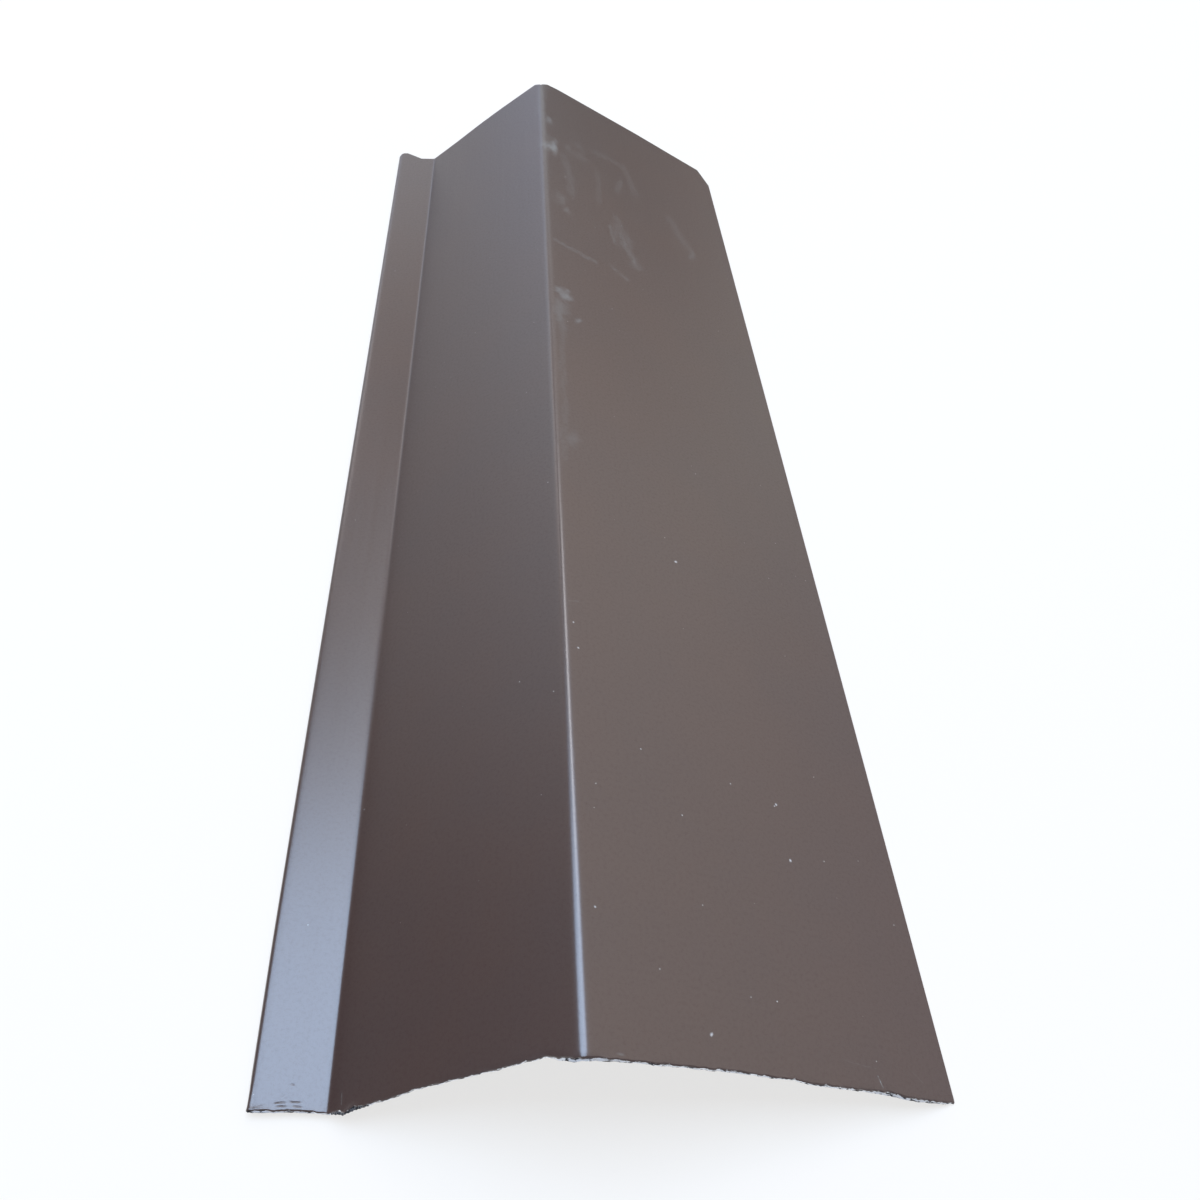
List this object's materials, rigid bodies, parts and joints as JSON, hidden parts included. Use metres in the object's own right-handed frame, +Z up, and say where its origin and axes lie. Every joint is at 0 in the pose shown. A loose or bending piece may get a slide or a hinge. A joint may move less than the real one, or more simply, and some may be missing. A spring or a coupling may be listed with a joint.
{
  "type": "gutter apron flashing",
  "caption": "Strip of brown painted sheet steel folded into a wide deck flange, a sloping face and a hemmed drip kick, to lead roof water past the fascia into a gutter.",
  "frame": {"origin": "on the floor under the middle of the strip: the bottom centre of its box", "axes": "+Y along the strip, +X across it towards the edge of the deck flange, +Z up from the floor"},
  "size_m": [0.2094, 0.61, 0.0514],
  "materials": {
    "brown_paint": "satin baked-on brown coil paint, with bare steel at the cut end"
  },
  "bodies": {
    "root": {"gutter_apron": "brown_paint"}
  },
  "joints": []
}
